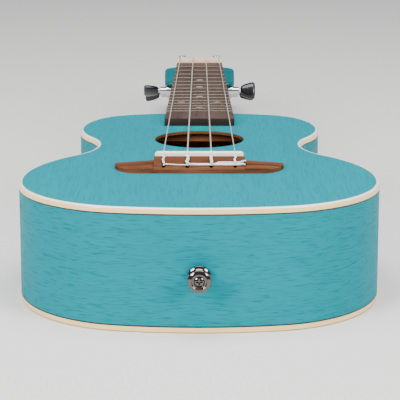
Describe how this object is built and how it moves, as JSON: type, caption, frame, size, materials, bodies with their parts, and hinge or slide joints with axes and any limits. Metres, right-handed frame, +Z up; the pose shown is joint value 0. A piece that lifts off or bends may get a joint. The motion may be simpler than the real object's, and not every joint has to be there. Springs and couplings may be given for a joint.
{
  "type": "ukulele",
  "caption": "Concert ukulele: hollow figure-eight body, glued neck, angled headstock, four nylon strings and geared tuners with turning buttons.",
  "frame": {"origin": "centre of the flat back of the body, on the plane it lies on", "axes": "+Y along the strings, from the tail to the headstock; +Z up, out of the soundboard; +X to the A string's side"},
  "size_m": [0.2074, 0.6167, 0.0773],
  "materials": {
    "turquoise_wood": "satin",
    "cream_trim": "gloss",
    "dark_line": "satin",
    "pale_wood": "matt",
    "brown_wood": "matt",
    "rosewood": "satin",
    "bone": "satin",
    "fret_wire": "polished",
    "dot_inlay": "gloss",
    "nylon": "gloss",
    "tuner_metal": "polished",
    "gear_steel": "satin",
    "button_black": "gloss",
    "felt": "matt"
  },
  "bodies": {
    "instrument": {"soundboard": "turquoise_wood", "back_plate": "turquoise_wood", "left_rib": "turquoise_wood", "right_rib": "turquoise_wood", "top_binding": "cream_trim", "back_binding": "cream_trim", "top_purfling": "dark_line", "back_purfling": "dark_line", "top_lining": "pale_wood", "back_lining": "pale_wood", "tail_block": "brown_wood", "neck_block": "brown_wood", "upper_brace": "brown_wood", "lower_brace": "pale_wood", "fan_braces": "pale_wood", "back_braces": "pale_wood", "back_seam_strip": "pale_wood", "bridge_patch": "brown_wood", "bridge": "rosewood", "saddle": "bone", "neck": "turquoise_wood", "headstock": "turquoise_wood", "fingerboard": "rosewood", "frets": "fret_wire", "fret_markers": "dot_inlay", "nut": "bone", "tuner_bushings": "tuner_metal", "tuner_caps": "tuner_metal", "tuner_screws": "tuner_metal", "strap_button": "tuner_metal", "strap_washer": "felt", "strap_screw": "tuner_metal", "g_string": "nylon", "g_tuner_housing": "tuner_metal", "c_string": "nylon", "c_tuner_housing": "tuner_metal", "e_string": "nylon", "e_tuner_housing": "tuner_metal", "a_string": "nylon", "a_tuner_housing": "tuner_metal"},
    "g_button": {"g_tuner_worm": "gear_steel", "g_tuner_button": "button_black", "g_button_screw": "tuner_metal"},
    "g_post": {"g_tuner_post": "gear_steel", "g_winding": "nylon"},
    "c_button": {"c_tuner_worm": "gear_steel", "c_tuner_button": "button_black", "c_button_screw": "tuner_metal"},
    "c_post": {"c_tuner_post": "gear_steel", "c_winding": "nylon"},
    "e_button": {"e_tuner_worm": "gear_steel", "e_tuner_button": "button_black", "e_button_screw": "tuner_metal"},
    "e_post": {"e_tuner_post": "gear_steel", "e_winding": "nylon"},
    "a_button": {"a_tuner_worm": "gear_steel", "a_tuner_button": "button_black", "a_button_screw": "tuner_metal"},
    "a_post": {"a_tuner_post": "gear_steel", "a_winding": "nylon"}
  },
  "joints": [
    {"name": "g_button_turn", "type": "hinge", "parent": "instrument", "child": "g_button", "pos_m": [-0.039, 0.37191, 0.03141], "axis": [1, 0, 0], "continuous": true},
    {"name": "g_post_turn", "type": "hinge", "parent": "instrument", "child": "g_post", "pos_m": [-0.014, 0.3821, 0.0476], "axis": [0, 0.2466, 0.9691], "continuous": true},
    {"name": "c_button_turn", "type": "hinge", "parent": "instrument", "child": "c_button", "pos_m": [-0.039, 0.41068, 0.02155], "axis": [1, 0, 0], "continuous": true},
    {"name": "c_post_turn", "type": "hinge", "parent": "instrument", "child": "c_post", "pos_m": [-0.014, 0.42086, 0.03773], "axis": [0, 0.2466, 0.9691], "continuous": true},
    {"name": "e_button_turn", "type": "hinge", "parent": "instrument", "child": "e_button", "pos_m": [0.039, 0.41068, 0.02155], "axis": [1, 0, 0], "continuous": true},
    {"name": "e_post_turn", "type": "hinge", "parent": "instrument", "child": "e_post", "pos_m": [0.014, 0.42086, 0.03773], "axis": [0, 0.2466, 0.9691], "continuous": true},
    {"name": "a_button_turn", "type": "hinge", "parent": "instrument", "child": "a_button", "pos_m": [0.039, 0.37191, 0.03141], "axis": [1, 0, 0], "continuous": true},
    {"name": "a_post_turn", "type": "hinge", "parent": "instrument", "child": "a_post", "pos_m": [0.014, 0.3821, 0.0476], "axis": [0, 0.2466, 0.9691], "continuous": true}
  ],
  "couplings": [
    {"joint": "g_post_turn", "follows": "g_button_turn", "ratio": 0.066667},
    {"joint": "c_post_turn", "follows": "c_button_turn", "ratio": 0.066667},
    {"joint": "e_post_turn", "follows": "e_button_turn", "ratio": -0.066667},
    {"joint": "a_post_turn", "follows": "a_button_turn", "ratio": -0.066667}
  ]
}
